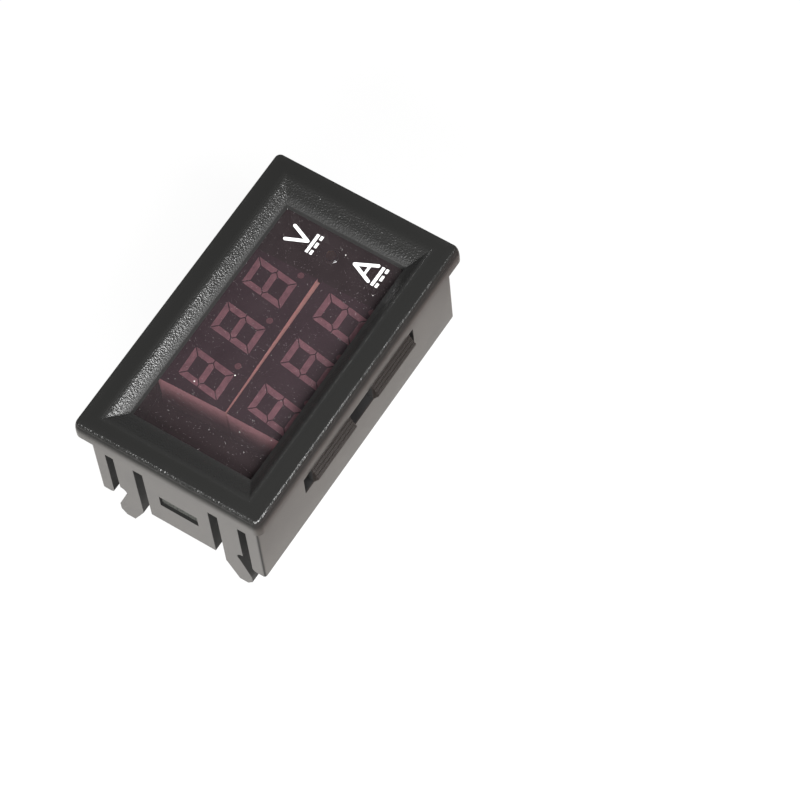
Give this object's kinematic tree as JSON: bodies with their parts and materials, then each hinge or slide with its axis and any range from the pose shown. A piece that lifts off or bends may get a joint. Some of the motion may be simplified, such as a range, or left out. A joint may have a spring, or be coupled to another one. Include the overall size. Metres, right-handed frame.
{
  "type": "digital panel meter",
  "caption": "Snap-in panel meter with a sloped bezel, a smoked red window over two rows of seven-segment digits for volts and amps, and an open rear with its board.",
  "frame": {"origin": "under the middle of the bezel, in the plane of the four rear hooks' feet that the meter stands on", "axes": "+X the way the digits read, +Y up on the face, +Z out of the face"},
  "size_m": [0.048, 0.029, 0.0232],
  "materials": {
    "black_housing": "satin black ABS, fine spark-eroded grain on the inner slope",
    "smoked_acrylic": "polished, smoked dark red, a little dust",
    "display_case": "black painted face, pale sides",
    "segment_resin": "unlit milky resin",
    "tinned_pins": "bright tinned",
    "green_board": "solder mask over copper",
    "solder": "bright",
    "chip_epoxy": "moulded epoxy",
    "resistor_ceramic": "glazed, tinned ends",
    "capacitor_ceramic": "fired ceramic, tinned ends",
    "shunt_alloy": "drawn copper alloy wire",
    "white_nylon": "natural nylon",
    "rotor_brass": "stamped brass"
  },
  "bodies": {
    "root": {"housing": "black_housing", "smoked_window": "smoked_acrylic", "volts_display": "display_case", "volts_segments": "segment_resin", "amps_display": "display_case", "amps_segments": "segment_resin", "display_pins": "tinned_pins", "circuit_board": "green_board", "solder_joints": "solder", "microcontroller": "chip_epoxy", "amplifier_chip": "chip_epoxy", "voltage_regulator": "chip_epoxy", "supply_diode": "chip_epoxy", "chip_leads": "tinned_pins", "chip_resistors": "resistor_ceramic", "chip_capacitors": "capacitor_ceramic", "shunt_bar": "shunt_alloy", "volts_trimmer_base": "white_nylon", "amps_trimmer_base": "white_nylon", "load_header": "white_nylon", "load_header_pins": "tinned_pins", "supply_header": "white_nylon", "supply_header_pins": "tinned_pins"},
    "volts_rotor": {"volts_trimmer_rotor": "rotor_brass"},
    "amps_rotor": {"amps_trimmer_rotor": "rotor_brass"}
  },
  "joints": [
    {"name": "volts_trim", "type": "hinge", "parent": "root", "child": "volts_rotor", "pos_m": [-0.0104, 0.0078, 0.009], "axis": [0, 0, -1], "range_deg": [-130, 130]},
    {"name": "amps_trim", "type": "hinge", "parent": "root", "child": "amps_rotor", "pos_m": [-0.0164, 0.0078, 0.009], "axis": [0, 0, -1], "range_deg": [-130, 130]}
  ]
}
